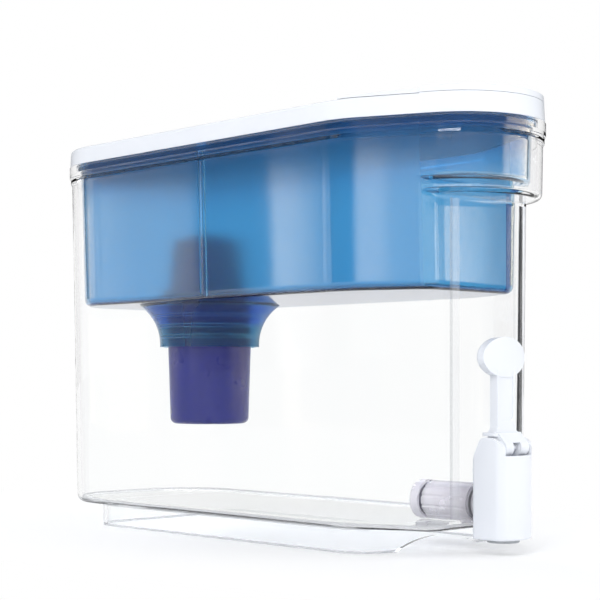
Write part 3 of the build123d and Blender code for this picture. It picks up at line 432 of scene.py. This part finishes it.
def grey_plastic():
    """Grey ring in the mouth of the spout."""
    m = Mat("grey_plastic")
    m.set(Base_Color=m.mix(m.noise(80, 4), rgb(158, 161, 165), rgb(182, 185, 188)))
    m.grain(rough=(0.3, 0.5), rough_scale=150, bump=0.1, bump_scale=800)
    return m.mat


def drawn_steel():
    """Steel of the door pin and the spring, with fine streaks along X."""
    m = Mat("drawn_steel", Metallic=1.0)
    streaks = m.noise(200, 3, stretch=(0.1, 1, 1))
    m.set(Base_Color=m.mix(streaks, rgb(168, 170, 174), rgb(206, 208, 212)))
    along_x = {"stretch": (0.05, 1, 1), "distance": 0.0001}
    m.grain(rough=(0.18, 0.34), rough_scale=300, bump=0.06, bump_scale=900, **along_x)
    return m.mat


MATERIALS = {
    gloss_white: ("lid", "fill_door", "tap_cover", "chamber_cap", "lever", "lever_pin"),
    clear_plastic: ("tank",),
    blue_plastic: ("reservoir",),
    indigo_plastic: ("filter_housing", "filter_cap"),
    carbon_grains: ("filter_media",),
    woven_mesh: ("inlet_screen", "outlet_screen"),
    dark_rubber: ("filter_seal", "stem_ring", "valve_seal"),
    pale_silicone: ("outer_washer", "inner_washer"),
    lilac_plastic: ("spigot_body", "plunger"),
    nut_plastic: ("retaining_nut",),
    grey_plastic: ("outlet_ring",),
    drawn_steel: ("door_pin", "return_spring"),
}
for make, names in MATERIALS.items():
    material = make()
    for name in names:
        slots = NODES[name].material_slots
        if not slots:
            NODES[name].data.materials.append(material)
        for s in slots:
            s.material = material


# ---------------------------------------------------------------- floor
FLOOR_RADIUS, FLOOR_GAP = 6.0, 0.0003
SHADOW_OVAL = (1.0, 0.5, 1.0)       # the shadow is kept in an oval twice as long as wide
SHADOW_REACH = (0.06, 0.22)         # half widths of that oval: where it begins to fade, and where it has
SHADOW_GLOW = 0.35                  # share of plain white under the object


def add_object(name, data):
    obj = bpy.data.objects.new(name, data)
    bpy.context.scene.collection.objects.link(obj)
    return obj


def seen_rays(m):
    """Mask of the rays that show the floor itself: from the camera, off a reflection or through glass."""
    rays = m.node("ShaderNodeLightPath").outputs
    seen = 0.0
    for name in ("Is Camera Ray", "Is Glossy Ray", "Is Transmission Ray"):
        seen = m.math("MAXIMUM", seen, rays[name])
    return m.product(seen, m.fewer_than(rays["Diffuse Depth"], 1))


def make_floor():
    """White paper floor. Away from the object it shows as plain white, and near it it keeps the shadow."""
    bm = bmesh.new()
    bmesh.ops.create_circle(bm, cap_ends=True, segments=64, radius=FLOOR_RADIUS)
    mesh = bpy.data.meshes.new("floor")
    bm.to_mesh(mesh)
    bm.free()
    floor = add_object("floor", mesh)
    floor.location.z = -FLOOR_GAP
    m = Mat("floor_paper", Roughness=0.9, Specular_IOR_Level=0.0)
    m.set(Base_Color=m.mix(m.noise(4, 3), rgb(250, 251, 252), rgb(253, 253, 254)))
    glow = m.node("ShaderNodeEmission", {"Color": WHITE}).outputs[0]
    distance = m.node("ShaderNodeVectorMath", operation="LENGTH")
    m.link(m.stretched(SHADOW_OVAL), distance.inputs[0])
    far = m.remap(distance.outputs["Value"], *SHADOW_REACH, SHADOW_GLOW, 1.0)
    m.surface(m.mix_shader(m.product(seen_rays(m), far), m.bsdf.outputs[0], glow))
    mesh.materials.append(m.mat)


# ---------------------------------------------------------------- light
class SoftBox(NamedTuple):
    """An upright light of the studio, in degrees round the object from +X towards +Y."""

    start: float       # where it begins
    rise: float        # how far from there it reaches its brightness
    stop: float        # where it begins to fall
    fall: float        # how far from there it is dark
    brightness: float


SOFT_BOXES = (
    SoftBox(100.0, 10.0, 130.1, 0.4, 1.0),
    SoftBox(95.0, 10.0, 125.0, 3.5, 0.8),
    SoftBox(133.05, 0.35, 133.4, 2.8, 2.7),
    SoftBox(166.0, 16.0, 187.0, 0.7, 2.9),
    SoftBox(187.0, 0.7, 305.0, 6.0, 1.5),
    SoftBox(35.0, 10.0, 75.0, 10.0, 0.8),
)
FRONT_BOX = SoftBox(290.0, 10.0, 350.0, 8.0, 3.2)

# Heights in the studio are the Z of a direction: the soft boxes end a few degrees above the horizon.
STUDIO_WALL, ABOVE_BOXES = 0.15, 0.12
BOX_TOP, FRONT_BOX_TOP = (0.083, 0.112), (0.14, 0.25)
OVERHEAD, OVERHEAD_BRIGHTNESS = (0.5, 0.7), 0.7
BEHIND = 90.0                       # below this angle, reflections in the reservoir show white and no boxes
COOL, COOL_BRIGHTNESS = (0.95, 0.97, 1.0, 1.0), 0.66
WARM = (1.0, 0.86, 0.67, 1.0)
DIM_BRIGHTNESS = 0.3


def make_world():
    """White background, plain soft light, and a studio with upright soft boxes for the reflections."""
    world = bpy.data.worlds.new("studio")
    bpy.context.scene.world = world
    world.use_nodes = True
    world.node_tree.nodes.clear()
    w = Graph(world.node_tree)

    # The reversed direction has an angle from -180 to 180 degrees, so around runs from 0 at +X to 360.
    direction = w.node("ShaderNodeTexCoord").outputs["Generated"]
    x, y, z = w.node("ShaderNodeSeparateXYZ", {"Vector": direction}).outputs
    reversed_angle = w.math("ARCTAN2", w.product(y, -1.0), w.product(x, -1.0))
    around = w.total(w.product(reversed_angle, 180 / math.pi), 180.0)

    def smooth(value, start, stop, first, last):
        return w.remap(value, start, stop, first, last, "SMOOTHSTEP")

    def shine(box):
        risen = smooth(around, box.start, box.start + box.rise, 0.0, box.brightness)
        return w.product(risen, smooth(around, box.stop, box.stop + box.fall, 1.0, 0.0))

    level = w.total(STUDIO_WALL, *(shine(box) for box in SOFT_BOXES))
    level = w.product(level, smooth(z, *BOX_TOP, 1.0, ABOVE_BOXES))
    level = w.total(level, smooth(z, *OVERHEAD, 0.0, OVERHEAD_BRIGHTNESS))
    level_on_blue = w.total(level, w.product(shine(FRONT_BOX), smooth(z, *FRONT_BOX_TOP, 1.0, 0.0)))

    def background(color, strength):
        return w.node("ShaderNodeBackground", {"Color": color, "Strength": strength}).outputs[0]

    white = background(WHITE, 1.0)
    plain = background(COOL, COOL_BRIGHTNESS)
    boxes = background(WHITE, level)
    boxes_on_blue = background(WARM, level_on_blue)
    dim = background(WHITE, DIM_BRIGHTNESS)

    # One reflection on an outside shows the boxes: at once, or off the reservoir behind two clear faces and
    # back out through them. One inside the clear wall shows white, and one inside the reservoir dim grey.
    # Every other ray that isn't scattered shows white, and a scattered one is lit by the plain light.
    rays = w.node("ShaderNodeLightPath").outputs
    mirrored, faces_passed = rays["Glossy Depth"], rays["Transmission Depth"]
    mirrored_once = w.product(w.at_least(mirrored, 1), w.fewer_than(mirrored, 2))
    off_reservoir = w.mix_shader(w.below(around, BEHIND), boxes_on_blue, white)
    shown = w.mix_shader(w.at_least(faces_passed, 1), boxes, white)
    shown = w.mix_shader(w.at_least(faces_passed, 4), shown, off_reservoir)
    shown = w.mix_shader(w.at_least(faces_passed, 5), shown, dim)
    shown = w.mix_shader(mirrored_once, white, shown)
    shown = w.mix_shader(w.at_least(rays["Diffuse Depth"], 1), shown, plain)
    w.node("ShaderNodeOutputWorld", {"Surface": shown})


def area(name, loc, target, size, watts):
    """An area lamp that isn't seen in reflections."""
    light = bpy.data.lights.new(name, "AREA")
    light.shape = "RECTANGLE"
    light.size, light.size_y = size
    light.energy = watts
    obj = add_object(name, light)
    obj.location = loc
    obj.rotation_euler = (Vector(target) - Vector(loc)).to_track_quat("-Z", "Y").to_euler()
    obj.visible_glossy = False
    return obj


make_floor()
make_world()
area("key", loc=(-1.3, -0.9, 1.3), target=(0, 0, 0.12), size=(0.9, 0.9), watts=15.5)
fill = area("fill", loc=(0.9, -1.2, 0.8), target=(0, 0, 0.12), size=(0.8, 1.1), watts=6)
fill.visible_transmission = False    # through the clear walls it would show as a bright patch
area("back", loc=(0.4, 1.3, 1.2), target=(0, 0, 0.15), size=(1.2, 0.6), watts=9)


# ---------------------------------------------------------------- camera
# Level camera at the height of the thumb pad, 44 degrees round from the tap. Lengths in the picture are for
# one that is 600 pixels wide.
PICTURE_PX, FOCAL_PX, HORIZON_PX = 600, 1486.0, 378.5
SENSOR_MM = 36.0
CAMERA_AT, YAW = (-0.6525755, -0.6765603, 0.097), 0.7706

camera = bpy.data.cameras.new("camera")
camera.sensor_width = SENSOR_MM
camera.lens = FOCAL_PX / PICTURE_PX * SENSOR_MM
camera.shift_y = (HORIZON_PX - PICTURE_PX / 2) / PICTURE_PX
camera.clip_start = 0.01
cam = add_object("camera", camera)
cam.location = CAMERA_AT
cam.rotation_euler = (math.radians(90), 0, -YAW)
bpy.context.scene.camera = cam
bpy.context.scene.view_settings.view_transform = "Standard"
